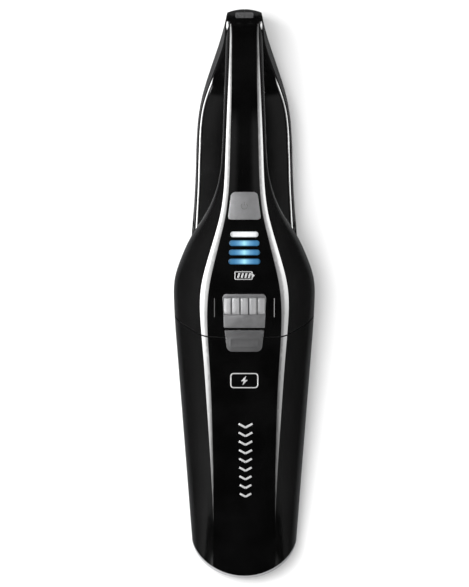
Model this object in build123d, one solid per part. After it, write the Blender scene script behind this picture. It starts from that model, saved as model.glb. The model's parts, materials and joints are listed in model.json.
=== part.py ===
"""Cordless handheld vacuum: loop handle on top, pull-off dust cup at the nose, motor, fan and battery inside.

Millimetres. The nose points along -Y, the rear of the loop handle along +Y, and +Z is up.
The origin is on the resting surface, under the middle of the bounding box.
"""
from build123d import *
from functools import cache
from math import atan2, cos, degrees, pi, radians, sin
import os

import numpy as np

# ---------------------------------------------------------------- driving dimensions
NOSE_Y = -214.3  # tip of the nose
TAIL_Y = 214.3  # rear end of the loop
WALL = 2.4  # shell thickness
COVER_WALL = 2.4  # thickness of the glossy top cover
GRIP_DEPTH = 26.0  # height of the handle's section
SINK = 1.0  # how far the lofts run below the ground before they are cut off at it
CROWN = 0.09  # fall of the top panel at its edge, as a share of its half-width
FACET_SLOPE = 0.62  # fall over run of the narrow facet that borders the panel
FACET_EASE = 0.76  # slope at the facet's inner edge, as a share of FACET_SLOPE
PARTING = 1.2  # width of the groove between the cup and the housing
FIT = 0.35  # gap round a moving control
TOUCH = 0.1  # gap between pieces that are only assembled
COVER_REAR_Y = 201.0  # where the top cover ends at the tail
AXIS_Z = 42.0  # height of the motor's and the filter's axis
BULKHEAD_Y = -5.0  # front face of the plate that carries the filter
BULKHEAD_T = 2.5
SLIDER_TRAVEL = 4.0
BUTTON_TRAVEL = 1.2


# ---------------------------------------------------------------- curves of the body
def smooth(points):
    """Natural cubic spline through (y, value) points."""
    ys, values = (np.array(column, float) for column in zip(*points))
    count = len(ys)
    step = np.diff(ys)
    system, right = np.eye(count), np.zeros(count)
    for i in range(1, count - 1):
        system[i, i - 1 : i + 2] = step[i - 1], 2 * (step[i - 1] + step[i]), step[i]
        right[i] = 6 * ((values[i + 1] - values[i]) / step[i] - (values[i] - values[i - 1]) / step[i - 1])
    bend = np.linalg.solve(system, right)

    def value(y):
        i = int(np.clip(np.searchsorted(ys, y) - 1, 0, count - 2))
        t, u = y - ys[i], ys[i + 1] - y
        curved = (bend[i] * u**3 + bend[i + 1] * t**3) / (6 * step[i])
        low = (values[i] / step[i] - bend[i] * step[i] / 6) * u
        high = (values[i + 1] / step[i] - bend[i + 1] * step[i] / 6) * t
        return float(curved + low + high)

    return value


def ease(t):
    """Smooth step from 0 to 1 with no jump in curvature."""
    t = min(max(t, 0.0), 1.0)
    return t**3 * (10 - 15 * t + 6 * t * t)


# The spine runs the whole length: dust cup, control panel, neck and handle.
TOP = smooth([(-222, 33), (-155, 58.5), (-90, 78.5), (-33, 94), (26, 107.5), (66, 113),
              (110, 114.5), (155, 110), (203, 97)])
WIDTH = smooth([(-222, 37), (-177, 40.1), (-102, 45.9), (-45, 50.4), (-4, 53.1), (13, 52.3), (28, 47.5),
                (45, 39.4), (58, 31), (71, 24.2), (88, 19), (115, 16.6), (160, 14.9), (203, 13.6)])
PANEL = smooth([(-222, 23.6), (-147, 23.3), (-102, 24.1), (-57, 25.9), (-15, 27.9), (5, 26.5), (22, 23),
                (44, 17.5), (60, 13.9), (75, 12), (107, 10.7), (143, 9.8), (203, 9.4)])
FACET = smooth([(-222, 0.3), (-165, 0.4), (-147, 1), (-102, 2.8), (-60, 4), (-34, 4.4), (10, 6), (33, 5.2),
                (62, 4), (107, 3.3), (143, 2.8), (165, 2.2), (188, 1.5), (203, 1.3)])
SPINE_STATIONS = [-222, -205, -188, -170, -150, -125, -100, -75, -50, -25, -5, 6, 14, 20, 26, 32, 38, 44, 52,
                  60, 70, 80, 92, 106, 124, 145, 168, 188, 203]
# The rear body lies under the handle, and its tail sweeps up to carry the handle's end.
BODY_TOP = smooth([(20, 46), (80, 46), (130, 46), (148, 46.8), (158, 49.2), (166, 55), (174, 64), (183, 75.5),
                   (191, 86), (199, 93.6), (204, 95), (208, 93), (212, 87.5), (217, 77)])
BODY_SHELF = smooth([(20, 36.5), (94, 32.3), (125, 31.2), (143, 28.6), (161, 22.5), (179, 15.6), (190, 12.2),
                     (203, 11), (209, 10.4), (217, 8.6)])
BODY_WIDTH = smooth([(20, 41), (45, 39.8), (71, 37.8), (109, 36.3), (131, 35.1), (150, 31.9), (165, 27.5),
                     (180, 22.4), (195, 17.4), (205.6, 14.5), (210.5, 13.4), (217, 12.2)])
BODY_FLOOR = smooth([(20, 0), (150, 0), (178, 0), (188, 1.5), (198, 7), (206, 14), (212, 23.5), (217, 33)])
BODY_STATIONS = [20, 32, 45, 60, 75, 90, 105, 118, 130, 138, 145, 151, 157, 163, 169, 175, 181, 187, 192, 196,
                 200, 203, 206, 208.5, 211, 213.5, 216.5]
BODY_CROWN = 2.0  # fall of the rear body's top from its middle to the start of its rounded edge
BODY_EDGE = 3.4  # size of that rounded edge
TAIL_ROUND, TAIL_CORNER_X, TAIL_CORNER = 32.5, 13.2, 2.0  # the tail's end seen from above: arc and its corners


def handle_underside(y):
    return (TOP(y) - GRIP_DEPTH) * ease((y - 18) / 84) - SINK


def spine_corners(y, inset):
    """Top, panel edge, facet edge, widest point and bottom corner of the right half-section, each (x, z)."""
    panel, facet, width = PANEL(y), FACET(y), WIDTH(y)
    top, floor = TOP(y), handle_underside(y)
    panel_z = top - CROWN * panel
    facet_x, facet_z = panel + facet, panel_z - FACET_SLOPE * facet
    foot = width - min(12, 0.45 * width)
    panel_x = panel - 0.33 * inset
    return (
        (0, top - inset),
        (panel_x, panel_z - 0.97 * inset),
        (max(facet_x - 0.72 * inset, panel_x + 0.15), facet_z - 0.85 * inset),
        (width - inset, floor + 0.42 * (top - floor)),
        (foot - 0.3 * inset, floor + inset),
    )


def section_wire(y, crown, half):
    """Closed section at y from the top edge's crown height and the right half's chain of Bezier points."""
    start_x, start_z = half[0][0]
    crown_z = (crown - 0.25 * start_z) / 0.75
    top = [(-start_x, start_z), (-start_x / 3, crown_z), (start_x / 3, crown_z), (start_x, start_z)]
    foot_x, foot_z = half[-1][-1]
    mirrored = [[(-x, z) for x, z in reversed(points)] for points in reversed(half)]
    edges = []
    for points in [top] + half + [[(foot_x, foot_z), (-foot_x, foot_z)]] + mirrored:
        corners = [Vector(x, y, z) for x, z in points]
        edges.append(Edge.make_line(*corners) if len(corners) == 2 else Edge.make_bezier(*corners))
    return Wire(edges)


def spine_section(y, inset):
    (_, crown), (px, pz), (qx, qz), (wx, wz), (fx, fz) = spine_corners(y, inset)
    flank = [(qx, qz), (qx + 0.55 * (wx - qx), qz - 0.3 * (qz - wz)), (wx, wz + 0.45 * (qz - wz)), (wx, wz)]
    belly = [(wx, wz), (wx, wz - 0.6 * (wz - fz)), (fx + 0.5 * (wx - fx), fz), (fx, fz)]
    facet = [(px, pz), ((px + qx) / 2, pz - 0.5 * FACET_EASE * (pz - qz)), (qx, qz)]
    return section_wire(y, crown, [facet, flank, belly])


def body_section(y, inset):
    top, shelf, width = BODY_TOP(y), BODY_SHELF(y), BODY_WIDTH(y)
    floor = BODY_FLOOR(y) - 1.5 * SINK
    corner = min(BODY_EDGE, 0.3 * shelf)
    shelf_x, shelf_z = shelf - 0.3 * inset, top - BODY_CROWN - inset
    turn_x, turn_z = shelf + corner - inset, top - BODY_CROWN - corner - 0.4 * inset
    width_x, width_z = width - inset, floor + 0.35 * (top - floor)
    foot = width - min(9, 0.5 * width)
    foot_x, foot_z = foot - 0.3 * inset, floor + inset
    reach = 0.55 * (turn_x - shelf_x)
    shoulder = [(shelf_x, shelf_z), (shelf_x + reach, shelf_z - reach * 2 * BODY_CROWN / shelf_x),
                (turn_x, turn_z + 0.5 * (shelf_z - turn_z)), (turn_x, turn_z)]
    side = [(turn_x, turn_z), (turn_x, turn_z - 0.4 * (turn_z - width_z)),
            (width_x, width_z + 0.4 * (turn_z - width_z)), (width_x, width_z)]
    belly = [(width_x, width_z), (width_x, width_z - 0.6 * (width_z - foot_z)),
             (foot_x + 0.5 * (width_x - foot_x), foot_z), (foot_x, foot_z)]
    return section_wire(y, top - inset, [shoulder, side, belly])


def block(x0, x1, y0, y1, z0, z1):
    """Axis-aligned box between two corners."""
    return Pos((x0 + x1) / 2, (y0 + y1) / 2, (z0 + z1) / 2) * Box(x1 - x0, y1 - y0, z1 - z0)


@cache
def spine(inset=0.0):
    """Solid of the spine, shrunk by inset."""
    return Part() + Solid.make_loft([spine_section(y, inset) for y in SPINE_STATIONS])


def tail_mould(inset):
    """Shape of the tail's end seen from above, and all that lies in front of it."""
    end, corner_x = TAIL_Y - inset, TAIL_CORNER_X - inset
    corner_y = end - corner_x ** 2 / (2 * TAIL_ROUND)
    arc = ThreePointArc((-corner_x, corner_y), (0, end), (corner_x, corner_y))
    sides = Polyline((corner_x, corner_y), (80, 60), (80, -20), (-80, -20), (-80, 60), (-corner_x, corner_y))
    outline = make_face(arc + sides)
    corners = [v for v in outline.vertices() if abs(v.Y - corner_y) < 0.01]
    return column(fillet(corners, TAIL_CORNER))


@cache
def rear_body(inset=0.0):
    """Solid of the rear body, shrunk by inset."""
    return (Part() + Solid.make_loft([body_section(y, inset) for y in BODY_STATIONS])) & tail_mould(inset)


def rod(x, z, radius, y0, y1):
    """Cylinder along Y."""
    return Pos(x, (y0 + y1) / 2, z) * Rot(90, 0, 0) * Cylinder(radius, y1 - y0)


def across(y, z, radius, x0, x1):
    """Cylinder along X."""
    return Pos((x0 + x1) / 2, y, z) * Rot(0, 90, 0) * Cylinder(radius, x1 - x0)


# ---------------------------------------------------------------- parting surfaces
SEAM_TOP_Y, SEAM_FOOT_Y, SEAM_TOP_Z, SEAM_POWER = -33.2, -12.0, 94.0, 2.2


def seam_y(z):
    """Side view of the line where the cup meets the housing."""
    return SEAM_FOOT_Y + (SEAM_TOP_Y - SEAM_FOOT_Y) * (max(z, 0) / SEAM_TOP_Z) ** SEAM_POWER


def ahead_of_seam(shift):
    """Everything in front of the seam moved rearwards by shift, as a wide prism along X."""
    heights = [-5, 0, 20, 40, 60, 80, 94, 106, 130]
    curve = Spline(*[(-80, seam_y(z) + shift, z) for z in heights])
    low, high = heights[0], heights[-1]
    rim = Polyline((-80, seam_y(high) + shift, high), (-80, -300, high), (-80, -300, low),
                   (-80, seam_y(low) + shift, low))
    return extrude(make_face(curve + rim), amount=160, dir=(1, 0, 0))


NOSE_HALF, NOSE_DEPTH, NOSE_LEAN = 40.3, 36.0, 0.12
MOUTH_LIP_Z, MOUTH_HEEL_Y = 20.0, -184.0


def nose_mould(inset=0.0):
    """The nose seen from above, half an ellipse that leans forward as it goes down, and all that lies behind it."""
    centre, half, depth = NOSE_Y + NOSE_DEPTH, NOSE_HALF - inset, NOSE_DEPTH - inset
    tip = EllipticalCenterArc((0, centre), half, depth, start_angle=180, arc_size=180)
    back = Polyline((half, centre), (half + 8, centre + 55), (70, centre + 55), (70, 20), (-70, 20),
                    (-70, centre + 55), (-half - 8, centre + 55), (-half, centre))
    rise = 100.0
    high = Pos(0, NOSE_LEAN * rise, MOUTH_LIP_Z + rise) * make_face(tip + back)
    front = extrude(high, amount=170, dir=Vector(0, -NOSE_LEAN, -1).normalized())
    return front + block(-100, 100, -20, 300, -5, 200)


def below_mouth(shift=0.0):
    """Material under the slanting plane of the mouth, with the plane moved up by shift."""
    slope = MOUTH_LIP_Z / (MOUTH_HEEL_Y - NOSE_Y)
    far = 60.0
    points = [(MOUTH_HEEL_Y + far, -slope * far + shift), (MOUTH_HEEL_Y - far, slope * far + shift),
              (MOUTH_HEEL_Y - far, -80), (MOUTH_HEEL_Y + far, -80)]
    outline = Polyline(*[(-80, y, z) for y, z in points], close=True)
    return extrude(make_face(outline), amount=160, dir=(1, 0, 0))


# ---------------------------------------------------------------- hull and shells
def outer_hull():
    """Outside of the whole vacuum without its controls."""
    front = (spine() & nose_mould()) - below_mouth()
    return (front + rear_body()) - block(-100, 100, -300, 300, -50, 0) - block(-100, 100, TAIL_Y, 300, -50, 200)


def cavity():
    """The hollow inside the shells."""
    room = block(-100, 100, -300, TAIL_Y - WALL, WALL, 300)
    return ((spine(WALL) & nose_mould(WALL)) - below_mouth(WALL * 1.3) + rear_body(WALL)) & room


def layer(shape, outer, inner):
    """Part of a shape lying between two insets of the spine; a negative inset stands proud of it."""
    return (shape & spine(outer)) - spine(inner)


def keystone(front_y, front_half, rear_y, rear_half, front_radius, rear_radius, grow=0.0):
    """Symmetric outline seen from above with straight sides and rounded corners."""
    front_y, rear_y = front_y - grow, rear_y + grow
    front_half, rear_half = front_half + grow, rear_half + grow
    corners = [(-front_half, front_y), (front_half, front_y), (rear_half, rear_y), (-rear_half, rear_y)]
    face = make_face(Polyline(*corners, close=True))
    for y, radius in ((front_y, front_radius), (rear_y, rear_radius)):
        ends = [v for v in face.vertices() if abs(v.Y - y) < 0.01]
        face = fillet(ends, radius + max(grow, 0))
    return face


def column(outline, low=-10.0, high=200.0):
    return extrude(Pos(0, 0, low) * outline, amount=high - low, dir=(0, 0, 1))


def cover_zone(grow=0.0):
    """Space of the glossy top cover, bounded a little outside the facets."""
    ys = [-60, -40, -20, 0, 15, 30, 45, 60, 75, 95, 120, 150, 180, COVER_REAR_Y + grow]
    right = [(PANEL(y) + FACET(y) + 0.8 + grow, y) for y in ys]
    left = [(-x, y) for x, y in right]
    outline = Spline(*right) + Line(right[-1], left[-1]) + Spline(*left[::-1]) + Line(left[0], right[0])
    belt = [(y, TOP(y) - 10 - grow) for y in range(-60, 206, 5)]
    above = Polyline(*[(-60, y, z) for y, z in belt], (-60, 205, 160), (-60, -60, 160), close=True)
    return column(make_face(outline), 20) & extrude(make_face(above), amount=120, dir=(1, 0, 0))


# ---------------------------------------------------------------- controls on the cover
BUTTON = (56.1, 12.5, 76.8, 9.7, 2.4, 3.6)
BUTTON_PROUD, BUTTON_DEPTH = 0.8, 1.7
TAB = (-42.8, 12.9, -26.7, 14.8, 4.5, 0.8)
TAB_PROUD, TAB_DEPTH = 1.1, 1.3
SLIDER = (-24.9, 15.3, 0.4, 16.4, 0.8, 3.0)
SLIDER_LIFT, SLIDER_PROUD = 0.3, 2.0
RIB_WIDTH, RIB_PITCH, RIB_COUNT, RIB_Y = 5.2, 6.4, 5, (-15.2, -2.2)
POCKET_X, POCKET_Y, POCKET_DEPTH = (18.2, 18.4, 20.5, 22.2, 22.65), (-17.5, -2.9), (1.3, 0.3)
LEDS = [(45.1, 10.5), (38.5, 11.3), (31.6, 11.6), (24.8, 11.9)]  # centre y and half-length
LED_HALF = 2.1
PIVOT_Y, PIVOT_Z, PIVOT_RADIUS = -12.0, 89.0, 1.2
BAR_Y, BAR_Z, BAR_RADIUS = -15.3, 80.0, 1.3
SLOPE = (TOP(0) - TOP(-25)) / 25
SLIDE_AXIS = Vector(0, 1, SLOPE).normalized()


def led_outline(y, half, grow=0.0):
    return Pos(0, y) * RectangleRounded(2 * (half + grow), 2 * (LED_HALF + grow), LED_HALF + grow - 0.05)


def power_button():
    cap = layer(column(keystone(*BUTTON), 90), -BUTTON_PROUD, BUTTON_DEPTH)
    stem_top = TOP(66) - BUTTON_DEPTH
    return cap + Pos(0, 66, stem_top - 0.7) * Cylinder(2.5, 3.0)


def catch_tab():
    plate = layer(column(keystone(*TAB), 80), -TAB_PROUD, TAB_DEPTH)
    frame = RectangleRounded(21.6, 6.6, 1.2) - RectangleRounded(19.8, 4.8, 0.8)
    plate += layer(column(Pos(0, -36.2) * frame, 80), -TAB_PROUD - 0.4, -TAB_PROUD + 0.4)
    return plate + (block(-4, 4, -30, -28, 86, 110) & spine(TAB_DEPTH - 0.3))


def release_slider():
    outline = keystone(*SLIDER)
    cap = layer(column(outline, 80), -SLIDER_PROUD, -SLIDER_LIFT)
    scoop_x = RIB_COUNT * RIB_PITCH / 2 - 0.3
    scoop = Pos(0, sum(RIB_Y) / 2) * RectangleRounded(2 * scoop_x, RIB_Y[1] - RIB_Y[0], 1.0)
    cap -= column(scoop, 80) - spine(-SLIDER_PROUD + 1.4)
    ribs = Part()
    for i in range(RIB_COUNT):
        x = (i - (RIB_COUNT - 1) / 2) * RIB_PITCH
        ribs += block(x - RIB_WIDTH / 2, x + RIB_WIDTH / 2, RIB_Y[0] + 0.8, RIB_Y[1] - 0.7, 80, 120)
    cap += layer(ribs, -SLIDER_PROUD + 0.2, -SLIDER_LIFT - 0.2)
    for side in (-1, 1):
        x0, x1 = sorted((side * 3.5, side * 5.5))
        leg = block(x0, x1, -20.8, -18.3, BAR_Z - 1.3, 120) & spine(-SLIDER_LIFT - 0.3)
        cap += leg + block(x0, x1, -20.8, BAR_Y, BAR_Z - 1.3, BAR_Z + 2.5)
    cap += block(5.2, 11.5, -20.8, -18.3, 89, 93.9)
    return cap + across(BAR_Y, BAR_Z, BAR_RADIUS, -5.5, 5.5)


def latch_lever():
    """Rocker whose claw holds the cup's catch; the slider's cross bar tips it down."""
    points = [(-33.6, 85.7), (-31.8, 85.7), (-31.3, 83.3), (-14, 91), (PIVOT_Y, 92), (-9.5, 90.5),
              (-10.5, 88), (-10.5, 79.5), (-13.5, 79.5), (-13.5, 86), (-15.5, 86.5), (-31, 79.8),
              (-33.6, 80.5)]
    arm = extrude(make_face(Polyline(*[(-3, y, z) for y, z in points], close=True)), amount=6, dir=(1, 0, 0))
    arm += across(PIVOT_Y, PIVOT_Z, 3.2, -3, 3)
    return arm - across(PIVOT_Y, PIVOT_Z, PIVOT_RADIUS + 0.05, -5, 5)


def latch_pin():
    return across(PIVOT_Y, PIVOT_Z, PIVOT_RADIUS, -8.75, 14.35)


SPRING_FROM_Y, SPRING_TO_Y, SPRING_X, SPRING_Z = -18.1, -6.6, 9.6, 92.8


def release_spring():
    length = SPRING_TO_Y - SPRING_FROM_Y
    path = Helix(pitch=length / 6, height=length - 0.9, radius=1.7)
    wire = sweep(Plane(path @ 0, z_dir=path % 0) * Circle(0.4), path, is_frenet=True)
    return Pos(SPRING_X, SPRING_FROM_Y + 0.45, SPRING_Z) * Rot(-90, 0, 0) * wire


def guide_pocket():
    """Slot beside the slider: a deep groove and a shallow step between slanting walls."""
    deep, shallow = POCKET_DEPTH
    depths = [(0, 0), (1, shallow), (1, deep), (2, deep), (2, shallow), (3, shallow), (4, 0)]
    mid_y, length = sum(POCKET_Y) / 2, POCKET_Y[1] - POCKET_Y[0]
    points = [(POCKET_X[k], -CROWN * POCKET_X[k] ** 2 / PANEL(mid_y) - depth) for k, depth in depths]
    points = [(POCKET_X[0], 30)] + points + [(POCKET_X[-1], 30)]
    outline = make_face(Polyline(*[(x, 0, z) for x, z in points], close=True))
    prism = extrude(Pos(0, -length / 2, 0) * outline, amount=length, dir=(0, 1, 0))
    return Pos(0, mid_y, TOP(mid_y)) * Rot(degrees(atan2(SLOPE, 1)), 0, 0) * prism


def top_cover():
    cover = layer(cover_zone(), 0, COVER_WALL)
    cover -= ahead_of_seam(PARTING)
    cover -= column(keystone(*BUTTON, grow=FIT), 80)
    cover -= column(keystone(*TAB, grow=0.4), 80) & block(-40, 40, -60, -20, 70, 120)
    cover -= block(-5.9, 5.9, -21.1, -14.0, 80, 120)
    for y, half in LEDS:
        cover -= column(led_outline(y, half, TOUCH), 80)
    cover -= guide_pocket() + mirror(guide_pocket(), Plane.YZ)
    supports = Part()
    for side in (-1, 1):
        for y in BOARD_POSTS_Y:
            supports += Pos(side * 9, y, LED_BOARD_Z + SLOPE_LED * (y - 35) + 10.3) * Cylinder(1.3, 20)
        for x, y in SWITCH_POSTS:
            supports += Pos(side * x, y, SWITCH_BOARD_Z + 10.05) * Cylinder(1.2, 20)
    for x in (-8.4, 11.9):
        supports += block(x, x + 2.2, PIVOT_Y - 2.4, PIVOT_Y + 2.4, PIVOT_Z - 2.6, 110)
    supports += block(7.2, 12, SPRING_TO_Y + 0.1, SPRING_TO_Y + 1.1, 89.8, 110)
    supports -= across(PIVOT_Y, PIVOT_Z, PIVOT_RADIUS + 0.05, -20, 20)
    return cover + (supports & spine(COVER_WALL - 0.3))


SLOPE_LED = (TOP(45) - TOP(25)) / 20
LED_BOARD_Z = TOP(35) - 8.6  # top face of the board under the light bars at y = 35
BOARD_POSTS_Y = (20.9, 49.0)
SWITCH_BOARD_Z = 99.0  # top face of the board under the power button
SWITCH_POSTS = [(13.7, 58.6), (12.0, 74.5)]


def led_lenses(leds):
    lenses = Part()
    for y, half in leds:
        lenses += layer(column(led_outline(y, half), 90), -0.15, 2.0)
    return lenses


def on_led_board(x, y, shape, lift=0.0):
    """Place a shape on the tilted board of the light bars."""
    tilt = degrees(atan2(SLOPE_LED, 1))
    return Pos(0, 35, LED_BOARD_Z) * Rot(tilt, 0, 0) * Pos(x, y - 35, lift) * shape


def led_board():
    return on_led_board(0, 35, Box(24, 33, 1.2), -0.65)


def led_chips():
    chips = Part()
    for y, half in LEDS:
        for x in (-half * 0.55, 0, half * 0.55):
            chips += on_led_board(x, y, Box(3, 1.6, 0.9), 0.45)
    return chips


def switch_board():
    return Pos(0, 66.5, SWITCH_BOARD_Z - 0.65) * Box(30, 19, 1.2)


def switch_body():
    body = Pos(0, 66, SWITCH_BOARD_Z + 2.85) * Box(11, 11, 5.7)
    return body - Pos(0, 66, SWITCH_BOARD_Z + 5) * Cylinder(1.85, 6)


PLUNGER_TOP = TOP(66) - BUTTON_DEPTH - 2.25


def switch_plunger():
    bottom = SWITCH_BOARD_Z + 3.4
    return Pos(0, 66, (PLUNGER_TOP + bottom) / 2) * Cylinder(1.8, PLUNGER_TOP - bottom)


# ---------------------------------------------------------------- housing
BOSS_RADIUS, BOSSES = 3.4, [(31, 12), (62, 13), (82, 86), (112, 98), (150, 14), (192, 34)]  # (y, z)
SCREW_HEAD_X, SCREW_LENGTH = 5.0, 12.0
TAIL_PLATE = Pos(0, 209.6) * RectangleRounded(13.6, 4.4, 1.2)
VENT_COUNT, VENT_PITCH, VENT_WIDTH, VENT_Z = 6, 6.0, 3.0, (18.0, 36.0)
CONTACT_Y, CONTACT_X = 160.0, 6.0


def vents():
    slots = Part()
    for i in range(VENT_COUNT):
        y = 24 + i * VENT_PITCH
        slot = Pos(0, y, sum(VENT_Z) / 2) * Rot(18, 0, 0) * Box(120, VENT_WIDTH, VENT_Z[1] - VENT_Z[0])
        slots += slot
    return slots - block(-25, 25, 0, 80, 0, 60)


def housing(hull, hollow):
    """Both halves of the housing before the split, with their screw bosses."""
    body = hull - hollow - ahead_of_seam(PARTING) - cover_zone(TOUCH) - vents()
    for y, z in BOSSES:
        body += across(y, z, BOSS_RADIUS, -60, 60) & hull
    for side in (-1, 1):
        body -= Pos(side * CONTACT_X, CONTACT_Y, 0) * Box(7.2, 12.2, 20)
    return body - (column(offset(TAIL_PLATE, TOUCH), 60) - rear_body(1.3))


def tail_insert():
    """Small plate let into the top of the tail."""
    plate = (column(TAIL_PLATE, 60) & rear_body(-0.25)) - rear_body(1.2)
    return plate - (block(-0.35, 0.35, 200, 220, 60, 110) - rear_body(0.5))


def housing_left(body):
    half = body & block(-100, -0.03, -300, 300, -10, 200)
    for y, z in BOSSES:
        half -= across(y, z, 1.15, SCREW_HEAD_X - SCREW_LENGTH - 1, 1)
    return half


def housing_right(body):
    half = body & block(0.03, 100, -300, 300, -10, 200)
    for y, z in BOSSES:
        half -= across(y, z, 1.6, -1, 60) + across(y, z, BOSS_RADIUS - 0.35, SCREW_HEAD_X, 70)
    return half


def housing_screws():
    screws = Part()
    for y, z in BOSSES:
        head = across(y, z, 2.7, SCREW_HEAD_X + 0.02, SCREW_HEAD_X + 2.2)
        head -= Pos(SCREW_HEAD_X + 1.8, y, z) * Box(1.6, 3.4, 0.8)
        head -= Pos(SCREW_HEAD_X + 1.8, y, z) * Box(1.6, 0.8, 3.4)
        screws += head + across(y, z, 1.1, SCREW_HEAD_X - SCREW_LENGTH, SCREW_HEAD_X + 1)
    return screws


def charge_contacts():
    pads = Part()
    for side in (-1, 1):
        pads += Pos(side * CONTACT_X, CONTACT_Y, 1.5) * Box(7, 12, 1.8)
        pads += Pos(side * CONTACT_X, CONTACT_Y, 4.2) * Box(2, 4, 4)
    return pads


def contact_holder():
    holder = block(-12, 12, CONTACT_Y - 9, CONTACT_Y + 9, WALL + 0.05, WALL + 3)
    for side in (-1, 1):
        holder -= Pos(side * CONTACT_X, CONTACT_Y, 4) * Box(7.4, 12.4, 10)
    return holder


# ---------------------------------------------------------------- dust cup
MOUTH_SIZE, MOUTH_RADIUS = (57.0, 22.5), 10.0
PORT_SIZE, PORT_RADIUS, PORT_Y, PORT_Z = (44.0, 26.0), 6.0, -140.0, 36.0
DUCT_WALL = 2.0
FLAP_PIN_RADIUS, FLAP_PIN_Z, FLAP_PIN_Y = 1.0, PORT_Z + PORT_SIZE[1] / 2 + 2.2, PORT_Y + 1.8


def duct(shrink=0.0):
    """Solid of the inlet duct from a little outside the mouth to the port, shrunk by its wall."""
    half = ((MOUTH_HEEL_Y - NOSE_Y) / 2, MOUTH_LIP_Z / 2)
    length = (half[0] ** 2 + half[1] ** 2) ** 0.5
    inward = Vector(0, half[1] / length, half[0] / length)
    centre = Vector(0, (NOSE_Y + MOUTH_HEEL_Y) / 2, MOUTH_LIP_Z / 2)
    mouth = Plane(centre - inward * 4, x_dir=(1, 0, 0), z_dir=inward)
    port = Plane((0, PORT_Y, PORT_Z), x_dir=(1, 0, 0), z_dir=(0, 1, 0))
    near = mouth * RectangleRounded(MOUTH_SIZE[0] - 2 * shrink, MOUTH_SIZE[1] - 2 * shrink,
                                    MOUTH_RADIUS - shrink)
    far = port * RectangleRounded(PORT_SIZE[0] - 2 * shrink, PORT_SIZE[1] - 2 * shrink, PORT_RADIUS - shrink)
    return loft([near, far])


def cup_shell(hull, hollow):
    shell = (hull & ahead_of_seam(0)) - hollow
    shell -= duct(-TOUCH)
    shell -= column(keystone(*TAB, grow=TOUCH), 70) - spine(TAB_DEPTH + 0.1)
    return shell


def inlet_duct():
    body = (duct() - duct(DUCT_WALL)) - below_mouth(0.05)
    for side in (-1, 1):
        x0, x1 = sorted((side * 17.5, side * 21.5))
        ear = block(x0, x1, PORT_Y - 5, FLAP_PIN_Y + 1.7, PORT_Z + PORT_SIZE[1] / 2 - 1.5, FLAP_PIN_Z + 2.2)
        body += ear - duct(DUCT_WALL - 0.2)
    return body - across(FLAP_PIN_Y, FLAP_PIN_Z, FLAP_PIN_RADIUS + 0.03, -30, 30)


def inlet_flap():
    """Rubber flap that covers the port and swings rearwards about its top edge."""
    plate = block(-21, 21, PORT_Y + 0.8, PORT_Y + 2.8, PORT_Z - 12.5, PORT_Z + 10.9)
    neck = block(-16.9, 16.9, PORT_Y + 0.8, PORT_Y + 2.8, PORT_Z + 10, FLAP_PIN_Z)
    barrel = across(FLAP_PIN_Y, FLAP_PIN_Z, 1.9, -16.9, 16.9)
    ribs = Part()
    for x in (-12, 0, 12):
        ribs += block(x - 0.8, x + 0.8, PORT_Y + 2.6, PORT_Y + 3.8, PORT_Z - 10, PORT_Z + 10)
    flap = plate + neck + barrel + ribs
    return flap - across(FLAP_PIN_Y, FLAP_PIN_Z, FLAP_PIN_RADIUS + 0.05, -30, 30)


def flap_pin():
    return across(FLAP_PIN_Y, FLAP_PIN_Z, FLAP_PIN_RADIUS, -22.3, 22.3)


def cup_gasket():
    ring = ahead_of_seam(PARTING - 0.1) - ahead_of_seam(0.1)
    ring = layer(ring & block(-100, 100, -100, 100, 1.0, 150), 0.9, 2.3)
    return ring - column(keystone(*TAB, grow=0.4), 60)


# ---------------------------------------------------------------- filter
FILTER_FRONT_Y, FILTER_RADIUS, FILTER_TIP_RADIUS = -86.0, 27.0, 19.0
FLANGE_T, FLANGE_RADIUS = 3.0, 31.0


def cone(radius_rear, radius_front, y_rear, y_front):
    """Solid cone along Y about the motor's axis."""
    rear = Plane((0, y_rear, AXIS_Z), z_dir=(0, -1, 0)) * Circle(radius_rear)
    front = Plane((0, y_front, AXIS_Z), z_dir=(0, -1, 0)) * Circle(radius_front)
    return loft([rear, front])


def filter_frame():
    """Flange, lengthwise bars and front cap that carry the pleated medium."""
    rear = BULKHEAD_Y - 0.05
    flange = rod(0, AXIS_Z, FLANGE_RADIUS, rear - FLANGE_T, rear) - rod(0, AXIS_Z, 20, rear - 9, rear + 1)
    cap = rod(0, AXIS_Z, FILTER_TIP_RADIUS + 1.5, FILTER_FRONT_Y, FILTER_FRONT_Y + 4)
    frame = flange + cap
    bars = cone(FILTER_RADIUS + 2.2, FILTER_TIP_RADIUS + 1.5, rear - FLANGE_T + 0.5, FILTER_FRONT_Y + 1)
    bars -= cone(FILTER_RADIUS + 0.4, FILTER_TIP_RADIUS + 0.1, rear - FLANGE_T + 1, FILTER_FRONT_Y)
    spokes = Part()
    for i in range(4):
        spokes += Pos(0, -45, AXIS_Z) * Rot(0, 45 * i + 22.5, 0) * Box(90, 120, 2.4)
    return frame + (bars & spokes)


def filter_media():
    """Pleated cone."""
    pleats = 28
    rear, front = BULKHEAD_Y - 0.15 - FLANGE_T, FILTER_FRONT_Y + 4.1
    sections = []
    for y, outer, depth in ((rear, FILTER_RADIUS, 5.0), (front, FILTER_TIP_RADIUS - 0.3, 3.6)):
        points = []
        for i in range(2 * pleats):
            radius = outer if i % 2 == 0 else outer - depth
            angle = pi * i / pleats
            points.append((radius * cos(angle), y, AXIS_Z + radius * sin(angle)))
        sections.append(Face(Wire(Polyline(*points, close=True).edges())))
    solid = Part() + loft(sections, ruled=True)
    return solid - cone(20.4, 13.6, rear + 1, front - 1)


def filter_seal():
    rear = BULKHEAD_Y - 0.05 - FLANGE_T
    ring = rod(0, AXIS_Z, FLANGE_RADIUS + 1.6, rear, rear + FLANGE_T - 0.1)
    return ring - rod(0, AXIS_Z, FLANGE_RADIUS + 0.02, rear - 1, rear + 5)


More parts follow.
